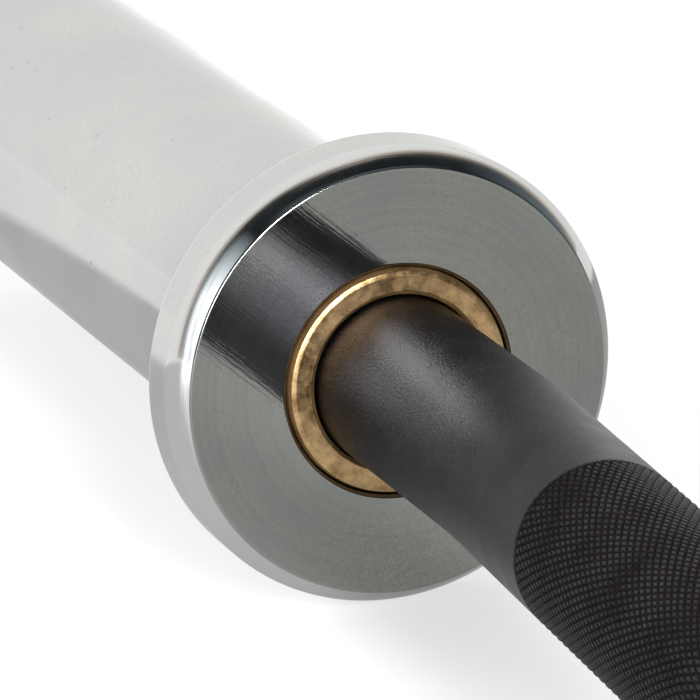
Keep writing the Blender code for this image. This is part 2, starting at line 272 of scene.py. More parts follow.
def handling_marks():
    """Small scattered nicks and pits that a bar picks up in use."""
    group, given, result = new_effect("handling_marks", ["Scale", "Share"], ["Pits"])
    cell = node(group, "TexVoronoi", {"Vector": given["Vector"], "Scale": given["Scale"]}).outputs
    chance = node(group, "SeparateColor", {0: cell["Color"]}).outputs[0]
    chosen = maths(group, "LESS_THAN", chance, given["Share"])
    dip = remap(group, cell["Distance"], *NICK_EDGE)
    group.links.new(product(group, chosen, dip), result["Pits"])
    return group


TURNING = turning_marks()
CLOUDY = cloudy_film()
HANDLING = handling_marks()
BRUSHED = brushed_lines()


def new_finish(name, metallic):
    material = bpy.data.materials.new(name)
    material.use_nodes = True
    tree = material.node_tree
    shader = tree.nodes["Principled BSDF"]
    shader.inputs["Metallic"].default_value = metallic
    return material, tree, shader


def bar_axis_place(tree):
    """Object coordinates measured from the bar's axis."""
    place = node(tree, "TexCoord").outputs["Object"]
    return node(tree, "Mapping", {"Vector": place, "Location": (0.0, -AXIS_Y, -AXIS_Z)}).outputs[0]


def bump(tree, height, distance, normal=None):
    inputs = {"Height": height, "Distance": distance, "Strength": 1.0}
    if normal:
        inputs["Normal"] = normal
    return node(tree, "Bump", inputs).outputs[0]


# Turned metal
STAIN_SHADE = 0.6  # of the darker colour
STAIN_GRAIN = (0.42, 0.80)
DARKEN_GRAIN = (0.40, 0.66)
DARKEN_START = FACE_X + COLLAR_THICKNESS  # the sleeve darkens from the collar's back face on
DARKEN_EDGE = 0.001
DARKEN_LENGTH = 0.05
ROUGH_SPAN = (0.2, 0.8)


def turned_metal(
    name, colours, rough, pitch, marks, bands, patch=35.0, dents=0.0, edge_tint=1.0, grain=0.0,
    metallic=1.0, ring_share=0.25, speckle=0.0, brushed=0.0, collar_darkening=0.0,
):
    """Bare or plated metal off a lathe: two close colours in soft patches, tool marks, small dents.

    rough is its least and its most roughness. marks and bands are the depths of the fine and the
    broad tool marks in microns, as grain is of the film's grain and brushed of the brushed lines.
    patch is the scale of the soft patches, and ring_share is how much of the shade follows the tool
    marks instead. dents and speckle are how strongly nicks and stains show, and the last argument is
    how strongly the sleeve darkens in grainy patches beside the collar. edge_tint dims the gloss at a
    grazing angle.
    """
    material, tree, shader = new_finish(name, metallic)
    shader.inputs["Specular Tint"].default_value = (edge_tint, edge_tint, edge_tint, 1.0)
    place = bar_axis_place(tree)
    tool = effect(tree, TURNING, {"Vector": place, "Pitch": pitch})
    film = effect(tree, CLOUDY, {"Vector": place, "Scale": patch, "Fineness": GRAIN_SCALE / patch})
    nicks = effect(tree, HANDLING, {"Vector": place, "Scale": NICK_SCALE, "Share": NICK_SHARE})
    shade = product(tree, film["Patches"], 1.0 - ring_share)
    shade = maths(tree, "ADD", shade, product(tree, tool["Bands"], ring_share))
    base = blend(tree, shade, *colours)
    dark = tuple(c * STAIN_SHADE for c in colours[0])
    stain = remap(tree, film["Grain"], *STAIN_GRAIN, 0.0, speckle)
    base = blend(tree, product(tree, stain, film["Patches"]), base, dark)
    base = blend(tree, product(tree, nicks["Pits"], dents), base, dark)
    # The sleeve darkens in grainy patches over 5 cm beside the collar
    if collar_darkening:
        out = maths(tree, "ABSOLUTE", node(tree, "SeparateXYZ", {0: place}).outputs[0])
        begins = (DARKEN_START - DARKEN_EDGE, DARKEN_START, 0.0, collar_darkening)
        wanes = (DARKEN_START, DARKEN_START + DARKEN_LENGTH, 1.0, 0.0)
        collar_dark = faded(tree, (out, begins), (out, wanes))
        dark_grain = remap(tree, film["Grain"], *DARKEN_GRAIN)
        base = blend(tree, product(tree, collar_dark, dark_grain), base, dark)
    tree.links.new(base, shader.inputs["Base Color"])
    tree.links.new(remap(tree, shade, *ROUGH_SPAN, *rough), shader.inputs["Roughness"])
    normal = bump(tree, tool["Height"], marks * MICRON)
    normal = bump(tree, tool["Bands"], bands * MICRON, normal)
    if grain:
        fine = product(tree, film["Grain"], film["Patches"])
        normal = bump(tree, fine, grain * MICRON, normal)
    if brushed:
        brush = effect(tree, BRUSHED, {"Vector": place, "Pitch": BRUSH_PITCH})
        normal = bump(tree, brush["Height"], brushed * MICRON, normal)
    if dents:
        normal = bump(tree, nicks["Pits"], -dents * NICK_DEPTH, normal)
    tree.links.new(normal, shader.inputs["Normal"])
    return material


# Black steel
FILM_SCALE = 95.0
FILM_FINENESS = 24.0
HOOP_PITCH = 0.0006
HOOP_SHARE = 0.25
PATCH_SHARE = 0.45
GRAIN_FADE = (0.40, 0.60, 0.0, 0.55)
DARK_SHARE = 0.28  # of the lighter colour
WAVE_SPAN = (0.5, 1.7)
GROOVE_COLOUR = (0.025, 0.022, 0.022)
GROOVE_SHEEN = (0.36, 0.35, 0.35)
WORN_COLOUR = (0.058, 0.058, 0.062)
# By the height on the knurl, 0 in its grooves and 1 on its diamonds
GROOVE_FADE = (0.0, 0.9)
WORN_FADE = (0.6, 1.0)
SHEEN_FADE = (0.3, 1.0)
GROOVE_ROUGH = (0.0, 0.5, 0.55, 0.26)


def black_steel(name, edge_tint, light, rough, knurled):
    """Black finish on the shaft: satin, with faint hoops of polishing and brown deep in the knurl."""
    material, tree, shader = new_finish(name, 1.0)
    shader.inputs["Specular Tint"].default_value = (edge_tint, edge_tint, edge_tint, 1.0)
    place = bar_axis_place(tree)
    film = effect(tree, CLOUDY, {"Vector": place, "Scale": FILM_SCALE, "Fineness": FILM_FINENESS})
    hoops = effect(tree, TURNING, {"Vector": place, "Pitch": HOOP_PITCH})
    share = product(tree, film["Patches"], PATCH_SHARE)
    share = maths(tree, "ADD", share, remap(tree, film["Grain"], *GRAIN_FADE))
    base = blend(tree, share, tuple(c * DARK_SHARE for c in light), light)
    wave = maths(tree, "ADD", product(tree, hoops["Bands"], HOOP_SHARE), film["Patches"])
    roughness = remap(tree, maths(tree, "ADD", film["Grain"], wave), *WAVE_SPAN, *rough)
    if knurled:
        height = node(tree, "Attribute", attribute_name="knurl_height").outputs["Fac"]
        base = blend(tree, remap(tree, height, *GROOVE_FADE), GROOVE_COLOUR, base)
        worn = product(tree, remap(tree, height, *WORN_FADE), film["Patches"])
        base = blend(tree, worn, base, WORN_COLOUR)
        sheen = remap(tree, height, *SHEEN_FADE)
        sheen = blend(tree, sheen, GROOVE_SHEEN, (edge_tint, edge_tint, edge_tint))
        tree.links.new(sheen, shader.inputs["Specular Tint"])
        roughness = maths(tree, "MAXIMUM", roughness, remap(tree, height, *GROOVE_ROUGH))
    tree.links.new(base, shader.inputs["Base Color"])
    tree.links.new(roughness, shader.inputs["Roughness"])
    normal = bump(tree, hoops["Height"], 3.0 * MICRON)
    normal = bump(tree, film["Grain"], 110.0 * MICRON, normal)
    tree.links.new(normal, shader.inputs["Normal"])
    return material


ZINC = ((0.430, 0.441, 0.447), (0.506, 0.508, 0.488))
# Painted shade: the collar's inner face, and the thin edge round it, take a darker copy of the zinc
FACE_ZINC_PAINTED_SHADE = ((0.243, 0.255, 0.256), (0.350, 0.347, 0.306))
# Painted highlight: a paler copy of the zinc on the collar's back edge
PALE_ZINC_PAINTED_HIGHLIGHT = ((0.48, 0.49, 0.49), (0.54, 0.54, 0.53))
CAP_ZINC = ((0.42, 0.425, 0.43), (0.50, 0.50, 0.49))
BRONZE = ((0.27, 0.165, 0.071), (0.60, 0.41, 0.205))
BRONZE_RIM = ((0.10, 0.055, 0.020), (0.20, 0.115, 0.046))
WASHER_STEEL = ((0.46, 0.46, 0.45), (0.55, 0.55, 0.53))
SPRING_STEEL = ((0.075, 0.075, 0.080), (0.12, 0.115, 0.11))
SATIN_BLACK = (0.049, 0.048, 0.057)
KNURL_BLACK = (0.040, 0.039, 0.044)

FINISHES = {
    "plated side": turned_metal(
        "zinc_side", ZINC, rough=(0.11, 0.19), pitch=0.00045, marks=0.2, bands=0.1, dents=0.4,
        edge_tint=0.72, grain=2.0, ring_share=0.05, speckle=0.44, collar_darkening=0.4,
    ),
    "polished edge": turned_metal(
        "zinc_edge", ZINC, rough=(0.06, 0.12), pitch=0.00036, marks=1.6, bands=4.0,
        edge_tint=0.72, speckle=0.2,
    ),
    # Painted shade: the collar's inner face is the side's zinc made darker
    "turned face painted shade": turned_metal(
        "zinc_face", FACE_ZINC_PAINTED_SHADE, rough=(0.03, 0.06), pitch=0.00017, marks=0.8, bands=0.8,
        metallic=0.985, ring_share=0.3, speckle=0.7, brushed=3.2,
    ),
    "bronze": turned_metal(
        "bronze_face", BRONZE, rough=(0.26, 0.38), pitch=0.00030, marks=1.5, bands=1.6,
        patch=560.0, dents=0.15, grain=20.0, speckle=0.5,
    ),
    "bronze rim": turned_metal(
        "bronze_rim", BRONZE_RIM, rough=(0.34, 0.48), pitch=0.00030, marks=2.0, bands=2.0,
        patch=200.0, metallic=0.5,
    ),
    # Painted highlight: the collar's back edge takes a paler copy of the zinc
    "back edge painted highlight": turned_metal(
        "zinc_back_edge_painted_highlight", PALE_ZINC_PAINTED_HIGHLIGHT, rough=(0.30, 0.40), pitch=0.00060, marks=1.0, bands=2.0,
        speckle=0.2,
    ),
    # Painted shade: the thin edge between the front chamfer and the face takes the darker face zinc
    "face edge painted shade": turned_metal(
        "zinc_face_edge_painted_shade", FACE_ZINC_PAINTED_SHADE, rough=(0.14, 0.20), pitch=0.00060, marks=1.0, bands=2.0,
        speckle=0.2,
    ),
    "washer": turned_metal(
        "washer_steel", WASHER_STEEL, rough=(0.26, 0.34), pitch=0.00030, marks=1.0, bands=3.0
    ),
    "spring": turned_metal(
        "spring_steel", SPRING_STEEL, rough=(0.30, 0.40), pitch=0.00060, marks=1.0, bands=3.0,
        patch=150.0,
    ),
    "cap": turned_metal(
        "end_cap_zinc", CAP_ZINC, rough=(0.18, 0.26), pitch=0.00030, marks=1.0, bands=4.0, dents=0.1
    ),
    "black": black_steel(
        "black_satin", edge_tint=0.66, light=SATIN_BLACK, rough=(0.27, 0.42), knurled=False
    ),
    "black knurl": black_steel(
        "black_knurl", edge_tint=0.45, light=KNURL_BLACK, rough=(0.26, 0.36), knurled=True
    ),
}


# Making pieces


def finish_piece(name, bm, finishes, body, replaced, sharp=SHARP_ANGLE):
    """Puts the mesh into the scene as a piece of a body, standing for CAD nodes."""
    mesh = bpy.data.meshes.new(name)
    bm.to_mesh(mesh)
    bm.free()
    for finish in finishes:
        mesh.materials.append(FINISHES[finish])
    if sharp is None:
        mesh.shade_flat()
    else:
        mesh.shade_smooth()
        mesh.set_sharp_from_angle(angle=sharp)
    piece = bpy.data.objects.new(name, mesh)
    bpy.context.scene.collection.objects.link(piece)
    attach(piece, body)
    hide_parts(*replaced)


def with_supports(section):
    """Adds corners just past the roundings, so that a straight side's shading stays straight."""
    corners = []
    for corner, after in zip(section, section[1:] + section[:1]):
        corners.append(corner)
        start, end = Vector(corner[:2]), Vector(after[:2])
        run = end - start
        if run.length < corner[2] + after[2] + 4 * SUPPORT_GAP or start.y + end.y == 0.0:
            continue
        for gap in (corner[2] + SUPPORT_GAP, run.length - after[2] - SUPPORT_GAP):
            spot = start + run * (gap / run.length)
            corners.append((spot.x, spot.y, 0.0, corner[3]))
    return corners


def turned(name, side, section, body, node_name):
    """Spins a closed section round the bar's axis.

    The section lists its corners as (out, radius, rounding, finish of the side that starts there).
    """
    direction = SIDES[side]
    section = with_supports(section)
    finishes = list(dict.fromkeys(corner[3] for corner in section))
    bm = bmesh.new()
    corners = [
        bm.verts.new((direction * (FACE_X + out), AXIS_Y, AXIS_Z + radius))
        for out, radius, _, _ in section
    ]
    sides = []
    for start, end, corner in zip(corners, corners[1:] + corners[:1], section):
        if corner[1] == 0.0 and end.co.z - AXIS_Z < MERGE:
            continue
        sides.append((Vector(start.co), Vector(end.co), finishes.index(corner[3])))
    bm.faces.new(corners)
    roundings = sorted({corner[2] for corner in section if corner[2]})
    for size in roundings:
        chosen = [vert for vert, corner in zip(corners, section) if corner[2] == size]
        bmesh.ops.bevel(
            bm,
            geom=chosen,
            offset=size,
            offset_type="OFFSET",
            segments=ROUNDING_STEPS,
            profile=0.5,
            affect="VERTICES",
            material=-1,
        )
    on_axis = [e for e in bm.edges if all(v.co.z - AXIS_Z < MERGE for v in e.verts)]
    bmesh.ops.delete(bm, geom=bm.faces[:], context="FACES_ONLY")
    bmesh.ops.delete(bm, geom=on_axis, context="EDGES")
    bmesh.ops.spin(
        bm,
        geom=bm.verts[:] + bm.edges[:],
        cent=(0.0, AXIS_Y, AXIS_Z),
        axis=(1.0, 0.0, 0.0),
        angle=2.0 * math.pi,
        steps=TURN_STEPS,
        use_merge=True,
    )
    bmesh.ops.remove_doubles(bm, verts=bm.verts[:], dist=MERGE)
    bmesh.ops.recalc_face_normals(bm, faces=bm.faces[:])
    for face in bm.faces:
        middle = face.calc_center_median()
        radius = math.hypot(middle.y - AXIS_Y, middle.z - AXIS_Z) / math.cos(math.pi / TURN_STEPS)
        spot = Vector((middle.x, AXIS_Y, AXIS_Z + radius))
        face.material_index = min(sides, key=lambda s: distance_to(spot, s[0], s[1]))[2]
    finish_piece(name, bm, finishes, body, [node_name])


def distance_to(spot, start, end):
    """From a spot to the straight side between two corners."""
    run = end - start
    share = max(0.0, min(1.0, (spot - start).dot(run) / run.length_squared))
    return (start + run * share - spot).length


# Sections of the turned pieces, the same for both ends


def front_edge():
    """The collar's front edge, a chamfer that rounds off toward both ends."""
    corners = []
    for step in range(RIM_STEPS - 2):
        angle = math.pi / 2 * step / RIM_STEPS
        out = RIM_DEPTH * (1.0 - math.sin(angle) ** RIM_OUT_POWER)
        height = (COLLAR_RADIUS - FACE_EDGE_RADIUS) * math.cos(angle) ** RIM_RADIUS_POWER
        corners.append((out, FACE_EDGE_RADIUS + height, 0.0, "polished edge"))
    return corners


def collar_section():
    back = COLLAR_THICKNESS
    return [
        (back, BACK_BORE, 0.0002, "plated side"),
        (back, COLLAR_RADIUS - BACK_EDGE_CHAMFER, 0.0002, "back edge painted highlight"),
        (back - BACK_EDGE_CHAMFER, COLLAR_RADIUS, 0.0001, "back edge painted highlight"),
        (back - 0.0008, COLLAR_RADIUS, 0.0, "plated side"),
        *front_edge(),
        (0.00022, FACE_EDGE_RADIUS + 0.00016, 0.0001, "face edge painted shade"),
        (0.0, FACE_EDGE_RADIUS - 0.00010, 0.0001, "turned face painted shade"),
        (0.0, SEAT_RADIUS + 0.0005, 0.0001, "polished edge"),
        (0.0006, SEAT_RADIUS, 0.0001, "turned face painted shade"),
        (SEAT_DEPTH, SEAT_RADIUS, 0.0, "turned face painted shade"),
        (SEAT_DEPTH, BACK_BORE, 0.0, "plated side"),
    ]


def tube_section():
    bushing_end = out_range("right_inner_bushing")[1] + FIT_GAP
    bushing_start = out_range("right_outer_bushing")[0] - FIT_GAP
    cap_start, cap_end = out_range("right_end_cap")
    ring_end = out_range("right_end_cap_ring")[1] + FIT_GAP
    corners = [
        (TUBE_END, CAP_BORE, 0.0004),
        (TUBE_END, SLEEVE_RADIUS - TUBE_CHAMFER, 0.0003),
        (TUBE_END - TUBE_CHAMFER, SLEEVE_RADIUS, 0.0004),
        (TUBE_START, SLEEVE_RADIUS, 0.0003),
        (TUBE_START, SEAT_RADIUS, 0.0002),
        (bushing_end, SEAT_RADIUS, 0.0),
        (bushing_end, TUBE_BORE, 0.0003),
        (bushing_start, TUBE_BORE, 0.0003),
        (bushing_start, SEAT_RADIUS, 0.0),
        (cap_start - FIT_GAP, SEAT_RADIUS, 0.0003),
        (cap_start - FIT_GAP, CAP_BORE, 0.0),
        (cap_end, CAP_BORE, 0.0),
        (cap_end, CAP_GROOVE, 0.0),
        (ring_end, CAP_GROOVE, 0.0),
        (ring_end, CAP_BORE, 0.0),
    ]
    return [(*corner, "plated side") for corner in corners]


def bushing_section(place):
    start, end = out_range(f"right_{place}_bushing")
    bore = (SHAFT_RADIUS if place == "inner" else JOURNAL_RADIUS) + FIT_GAP
    return [
        (start + 0.00035, bore + 0.0005, 0.0002, "bronze"),
        (start + 0.00035, 0.01742, 0.0001, "bronze"),
        (start + 0.00053, 0.01800, 0.0001, "bronze"),
        (start + 0.00062, 0.01812, 0.0, "bronze rim"),
        (start + 0.00130, BUSHING_RADIUS, 0.0001, "bronze rim"),
        (start + 0.00190, 0.01850, 0.0, "bronze rim"),
        (end - BUSHING_CHAMFER, BUSHING_RADIUS, 0.0001, "bronze rim"),
        (end, BUSHING_RADIUS - BUSHING_CHAMFER, 0.0, "bronze"),
        (end, bore, 0.0, "bronze"),
        (start + 0.00085, bore, 0.0001, "bronze rim"),
    ]


def cap_section():
    start, end = out_range("right_end_cap")
    corners = [
        (end - CAP_DISH_DEPTH, 0.0, 0.0),
        (end - CAP_DISH_DEPTH, 0.0135, 0.0005),
        (end, 0.0150, 0.0003),
        (end, CAP_RADIUS - CAP_CHAMFER, 0.0002),
        (end - CAP_CHAMFER, CAP_RADIUS, 0.0002),
        (start, CAP_RADIUS, 0.0002),
        (start, 0.0, 0.0),
    ]
    return [(*corner, "cap") for corner in corners]


def washer_section(place):
    start, end = out_range(f"right_{place}_thrust_washer")
    bore = JOURNAL_RADIUS + FIT_GAP
    corners = [
        (start, bore, 0.00015),
        (start, WASHER_RADIUS, 0.0003),
        (end, WASHER_RADIUS, 0.0003),
        (end, bore, 0.00015),
    ]
    return [(*corner, "washer") for corner in corners]


def make_sleeve(side):
    body = side + "_sleeve"
    turned(side + "_collar_turned", side, collar_section(), body, side + "_collar")
    turned(side + "_sleeve_turned", side, tube_section(), body, side + "_sleeve_tube")
    for place in ("inner", "outer"):
        name = f"{side}_{place}_bushing"
        turned(name + "_turned", side, bushing_section(place), body, name)
    turned(side + "_end_cap_turned", side, cap_section(), body, side + "_end_cap")


def make_washers(side):
    for place in ("inner", "outer"):
        name = f"{side}_{place}_thrust_washer"
        section = washer_section(place)
        turned(name + "_turned", side, section, "shaft_assembly", name)


# The shaft's centre line


def camber_stretches():
    """(length, turn) of each stretch from the bar's middle to an end, a straight having no turn."""
    peak = (FIRST_BEND_X - PEAK_FROM_MIDDLE) * math.tan(OUTER_GRIP_ANGLE)
    inner_run = PEAK_FROM_MIDDLE - CENTRE_HALF_LENGTH
    inner_angle = math.atan2(peak + CENTRE_OFFSET, inner_run)
    bends = [
        (inner_angle, GRIP_BEND_RADIUS),
        (-inner_angle - OUTER_GRIP_ANGLE, GRIP_BEND_RADIUS),
        (OUTER_GRIP_ANGLE, FIRST_BEND_RADIUS),
    ]
    cuts = [radius * math.tan(abs(turn) / 2) for turn, radius in bends]
    shaft_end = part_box("shaft")[1].x
    runs = [
        CENTRE_HALF_LENGTH - cuts[0],
        inner_run / math.cos(inner_angle) - cuts[0] - cuts[1],
        (FIRST_BEND_X - PEAK_FROM_MIDDLE) / math.cos(OUTER_GRIP_ANGLE) - cuts[1] - cuts[2],
        shaft_end - FIRST_BEND_X - cuts[2],
    ]
    stretches = []
    for run, bend in zip(runs, [*bends, None]):
        stretches.append((run, 0.0))
        if bend:
            stretches.append((abs(bend[0]) * bend[1], bend[0]))
    return stretches, cuts


STRETCHES, CUTS = camber_stretches()
SHAFT_HALF = sum(length for length, _ in STRETCHES)
TO_PEAKS = Vector((0.0, -math.cos(CAMBER_ROLL), math.sin(CAMBER_ROLL)))
ALONG_BAR = Vector((1.0, 0.0, 0.0))
CAMBER_NORMAL = ALONG_BAR.cross(TO_PEAKS)


def station(along, radius):
    """The matrix that puts a unit circle round the shaft's centre line."""
    left_over = abs(along)
    spot = Vector((0.0, -CENTRE_OFFSET))
    heading = 0.0
    for length, turn in STRETCHES:
        step = min(left_over, length)
        if turn:
            angle = turn * step / length
            bend = length / abs(turn)
            chord = 2.0 * bend * math.sin(abs(angle) / 2)
            middle = heading + angle / 2
            spot += Vector((math.cos(middle), math.sin(middle))) * chord
            heading += angle
        else:
            spot += Vector((math.cos(heading), math.sin(heading))) * step
        left_over -= step
        if left_over <= 0.0:
            break
    if along < 0.0:
        spot.x, heading = -spot.x, -heading
    ahead = ALONG_BAR * math.cos(heading) + TO_PEAKS * math.sin(heading)
    aside = TO_PEAKS * math.cos(heading) - ALONG_BAR * math.sin(heading)
    centre = Vector((0.0, AXIS_Y, AXIS_Z)) + ALONG_BAR * spot.x + TO_PEAKS * spot.y
    matrix = Matrix.Identity(4)
    for column, vector in enumerate((aside * radius, CAMBER_NORMAL * radius, ahead, centre)):
        matrix.col[column] = (*vector, 1.0 if column == 3 else 0.0)
    return matrix


def stretch_start(index):
    return sum(length for length, _ in STRETCHES[:index])


PEAK_BEND_START, PEAK_BEND_END = stretch_start(3), stretch_start(4)
FIRST_BEND_CORNER = stretch_start(5) + CUTS[2]
CENTRE_BEND_END = stretch_start(2)
# Each knurled grip as (start, end) along the shaft, in whole diamonds
OUTER_END = FIRST_BEND_CORNER - KNURL_START
OUTER_CELLS = round((OUTER_END - PEAK_BEND_END - (KNURL_TO_PEAK - CUTS[1])) / KNURL_PITCH)
INNER_START = CENTRE_BEND_END + (KNURL_TO_CENTRE - CUTS[0])
INNER_CELLS = round((PEAK_BEND_START - (KNURL_TO_PEAK - CUTS[1]) - INNER_START) / KNURL_PITCH)
GRIPS = {
    "outer": (OUTER_END - OUTER_CELLS * KNURL_PITCH, OUTER_CELLS),
    "inner": (INNER_START, INNER_CELLS),
}


def half_stations():
    """(along, radius) of the smooth shaft from the middle to an end, cut back under the grips."""
    rows = []
    for index, (length, turn) in enumerate(STRETCHES[:-1]):
        if turn:
            start = stretch_start(index)
            rows += [(start + length * s / BEND_STEPS, SHAFT_RADIUS) for s in range(BEND_STEPS + 1)]
    under = KNURL_ROOT - KNURL_WALL
    for start, cells in GRIPS.values():
        end = start + cells * KNURL_PITCH
        inside = [(along, under) for along, _ in rows if start < along < end]
        rows = [row for row in rows if not start - GRIP_CLEAR < row[0] < end + GRIP_CLEAR]
        rows += [(start - away, SHAFT_RADIUS - below) for away, below in GRIP_EDGE]
        rows += [(start, under), *inside, (end, under)]
        rows += [(end + away, SHAFT_RADIUS - below) for away, below in GRIP_EDGE[::-1]]
    rows.sort(key=lambda row: row[0])
    face = SHAFT_HALF - (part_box("shaft")[1].x - FACE_X)
    ring_start, ring_end = out_range("right_shaft_ring")
    groove_start, groove_end = face + ring_start - FIT_GAP, face + ring_end + FIT_GAP
    groove = JOURNAL_RADIUS - SHAFT_GROOVE_DEPTH
    shoulder = face + out_range("right_inner_thrust_washer")[0] - FIT_GAP
    rows += [
        (face, SHAFT_RADIUS),
        (shoulder - 0.0010, SHAFT_RADIUS),
        (shoulder - SHOULDER_CHAMFER, SHAFT_RADIUS),
        (shoulder, SHAFT_RADIUS - SHOULDER_CHAMFER),
        (shoulder, JOURNAL_RADIUS),
        (groove_start, JOURNAL_RADIUS),
        (groove_start, groove),
        (groove_end, groove),
        (groove_end, JOURNAL_RADIUS),
        (SHAFT_HALF - SHAFT_END_CHAMFER, JOURNAL_RADIUS),
        (SHAFT_HALF, JOURNAL_RADIUS - SHAFT_END_CHAMFER),
    ]
    return rows


def first_ring(bm, sides, row):
    """The edges of a circle round the shaft's centre line, and the matrix that put it there."""
    ring = bmesh.ops.create_circle(bm, segments=sides, radius=1.0)["verts"]
    here = station(*row)
    bmesh.ops.transform(bm, matrix=here, verts=ring)
    return bm.edges[:], here


def drawn_on(bm, edges, here, rows):
    """Draws a ring of edges on through the rows, and returns the last ring's edges."""
    for row in rows:
        made = bmesh.ops.extrude_edge_only(bm, edges=edges)["geom"]
        verts = [part for part in made if isinstance(part, bmesh.types.BMVert)]
        inside = set(verts)
        edges = [e for e in made if isinstance(e, bmesh.types.BMEdge) and set(e.verts) <= inside]
        there = station(*row)
        bmesh.ops.transform(bm, matrix=there @ here.inverted(), verts=verts)
        here = there
    return edges


def make_shaft():
    half = half_stations()
    rows = [(-along, radius) for along, radius in half[::-1]] + half
    bm = bmesh.new()
    edges, here = first_ring(bm, SHAFT_SIDES, rows[0])
    bmesh.ops.edgeloop_fill(bm, edges=edges)
    bmesh.ops.edgeloop_fill(bm, edges=drawn_on(bm, edges, here, rows[1:]))
    bmesh.ops.recalc_face_normals(bm, faces=bm.faces[:])
    finish_piece("shaft_turned", bm, ["black"], "shaft_assembly", ["shaft"])


def make_grip(name, start, cells):
    """A knurled band: a tube of cells, poked and dissolved into diamonds, each raised by an inset."""
    stops = [start + KNURL_PITCH * cell for cell in range(cells + 1)]
    bm = bmesh.new()
    first_edges, first = first_ring(bm, KNURL_ROUND, (stops[0], KNURL_ROOT))
    last_edges = drawn_on(bm, first_edges, first, [(stop, KNURL_ROOT) for stop in stops[1:]])
    bmesh.ops.recalc_face_normals(bm, faces=bm.faces[:])
    middle = bm.faces[:][0].calc_center_median()
    if bm.faces[:][0].normal.dot(middle - station(stops[0], 1.0).translation) < 0.0:
        bmesh.ops.reverse_faces(bm, faces=bm.faces[:])
    cell_edges = [edge for edge in bm.edges if len(edge.link_faces) == 2]
    bmesh.ops.poke(bm, faces=bm.faces[:])
    bmesh.ops.dissolve_edges(bm, edges=cell_edges)
    tops = bm.faces[:]
    bmesh.ops.inset_individual(
        bm, faces=tops, thickness=KNURL_FLANK, depth=KNURL_HEIGHT, use_even_offset=True
    )
    height = bm.verts.layers.float.new("knurl_height")
    for vert in {vert for face in tops for vert in face.verts}:
        vert[height] = 1.0
    inner = drawn_on(bm, first_edges, first, [(stop, KNURL_ROOT - KNURL_WALL) for stop in stops])
    bmesh.ops.bridge_loops(bm, edges=inner + last_edges)
    bmesh.ops.recalc_face_normals(bm, faces=bm.faces[:])
    finish_piece(name, bm, ["black knurl"], "shaft_assembly", ["shaft"], sharp=None)


for side_name in SIDES:
    make_sleeve(side_name)
    make_washers(side_name)
    for node_name in (side_name + "_shaft_ring", side_name + "_end_cap_ring"):
        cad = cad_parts[node_name]
        cad.data.materials.clear()
        cad.data.materials.append(FINISHES["spring"])
make_shaft()
for grip_name, (grip_start, grip_cells) in GRIPS.items():
    make_grip(f"right_{grip_name}_grip_knurl", grip_start, grip_cells)
    make_grip(f"left_{grip_name}_grip_knurl", -grip_start - grip_cells * KNURL_PITCH, grip_cells)


# Studio, set so that the metal mirrors what it does in the photograph

FLOOR_HALF = 40.0
FLOOR_DROP = 0.0002
FLOOR_GREY = (0.30, 0.30, 0.30, 1.0)
# The near floor reaches left to a line past the left sleeve, and behind the bar to a slanting line
NEAR_LINE = (-FACE_X - 0.248, -FACE_X - 0.218)
NEAR_SLANT = (0.15, 0.30)
NEAR_TO_CAMERA, FAR_TO_CAMERA = 0.62, 1.08
# Painted light and shade, seen only in gloss: the near floor glows less than it does to the camera,
# least behind the bar, and the far floor left of the bar glows brighter than white
NEAR_PAINTED_SHADE = (AXIS_Y + 0.02, AXIS_Y + 0.09, 0.42, 0.19)
FAR_PAINTED_LIGHT = (-FACE_X - 2.5, -FACE_X - 0.3, 1.27, 1.08)
NEAR_TINT, FAR_TINT = (0.985, 0.995, 1.0), (1.0, 0.99, 0.972)
# Two painted bright rays on the floor from the left collar, glowing only in gloss: the strip's foot
# toward the front, and a slanting one
PAINTED_FOOT_MIDDLE = 0.045
PAINTED_FOOT_EDGE = (0.095, 0.15, 2.2, 0.0)
PAINTED_FOOT_END = (-0.50, -0.06, 1.0, 0.0)
PAINTED_SLANT_MIDDLE = 0.55
PAINTED_SLANT_EDGE = (0.20, 0.45, 2.4, 0.0)
PAINTED_SLANT_END = (-0.40, -0.07, 1.0, 0.0)
# The strip's dark lines
STRIP_GAPS = (-0.020, 0.110)
STRIP_GAP_EDGE = (0.003, 0.014, 0.35, 1.0)


def streaks(tree, across):
    """Dark lines that part the bright strip, by the place across it."""
    edges = [(off_by(tree, across, spot), STRIP_GAP_EDGE) for spot in STRIP_GAPS]
    return faded(tree, *edges)


def floor_levels(tree, x, y):
    """How near the floor is, from 0 to 1, and how bright it shows to the camera and in gloss, where it
    carries painted shade near the bar, painted light far off and two painted bright rays.
    """
    from_collar = maths(tree, "ADD", x, FACE_X)
    in_front = maths(tree, "SUBTRACT", AXIS_Y, y)
    slanting = remap(tree, maths(tree, "MULTIPLY_ADD", from_collar, 2.0, y), *NEAR_SLANT)
    near = maths(tree, "MAXIMUM", remap(tree, x, *NEAR_LINE), slanting)
    to_camera = remap(tree, near, 0.0, 1.0, FAR_TO_CAMERA, NEAR_TO_CAMERA)
    far_painted_light, near_painted_shade = remap(tree, x, *FAR_PAINTED_LIGHT), remap(tree, y, *NEAR_PAINTED_SHADE)
    gloss_with_painted_light = remap(tree, near, 0.0, 1.0, far_painted_light, near_painted_shade)
    across = maths(tree, "DIVIDE", from_collar, in_front)
    # Painted reflections: the two bright rays add to the floor's glow in gloss only
    painted_foot = remap(tree, off_by(tree, across, PAINTED_FOOT_MIDDLE), *PAINTED_FOOT_EDGE)
    painted_foot = product(tree, painted_foot, streaks(tree, across), remap(tree, y, *PAINTED_FOOT_END))
    painted_slant = off_by(tree, maths(tree, "DIVIDE", in_front, from_collar), PAINTED_SLANT_MIDDLE)
    painted_slant = faded(tree, (painted_slant, PAINTED_SLANT_EDGE), (y, PAINTED_SLANT_END))
    gloss_with_painted_light = maths(tree, "ADD", maths(tree, "ADD", gloss_with_painted_light, painted_foot), painted_slant)
    return near, to_camera, gloss_with_painted_light


